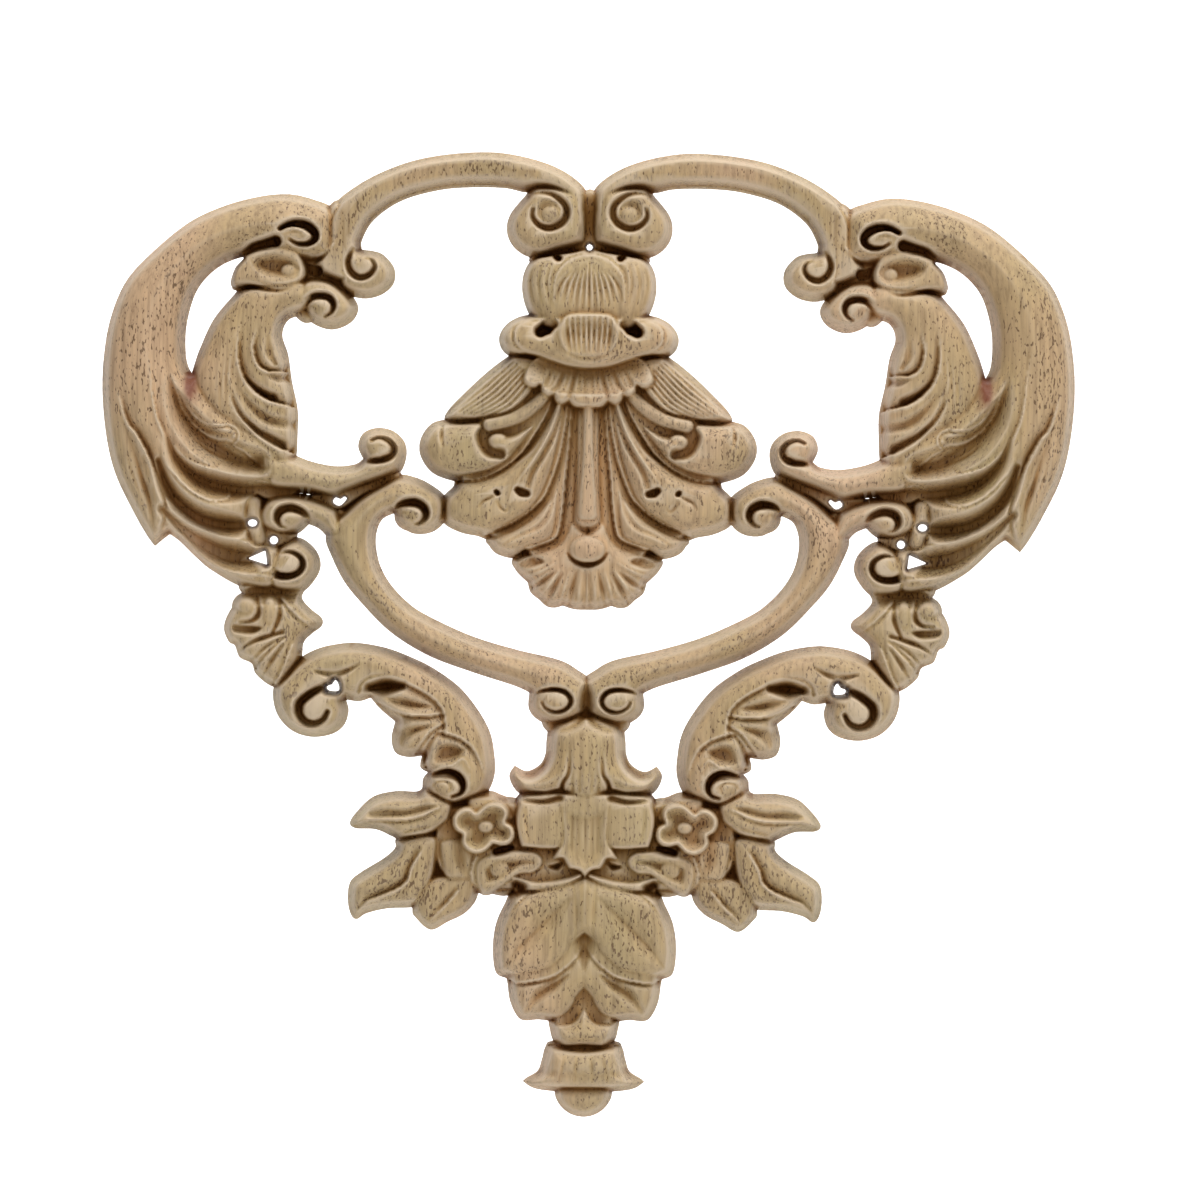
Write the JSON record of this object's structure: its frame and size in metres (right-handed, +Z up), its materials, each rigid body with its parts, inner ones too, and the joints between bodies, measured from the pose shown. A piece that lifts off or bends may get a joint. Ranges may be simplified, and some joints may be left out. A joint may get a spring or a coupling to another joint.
{
  "type": "carved wood applique",
  "caption": "Openwork rococo onlay carved in relief from a pale hardwood board, with a shell, winged scrolls, leaves and a pendant bud, flat behind for gluing to furniture.",
  "frame": {"origin": "on the flat back, on the centre line, at the middle of the shell", "axes": "+X to the right seen from the front, +Z up along the centre line, +Y out of the flat back; the carved front faces -Y"},
  "size_m": [0.1946, 0.0128, 0.1929],
  "materials": {
    "wood": "unfinished pale rubberwood, sanded, with vertical grain, dark pore dashes and brown shadow tones deep in the carving"
  },
  "bodies": {
    "root": {"carved_applique": "wood"}
  },
  "joints": []
}
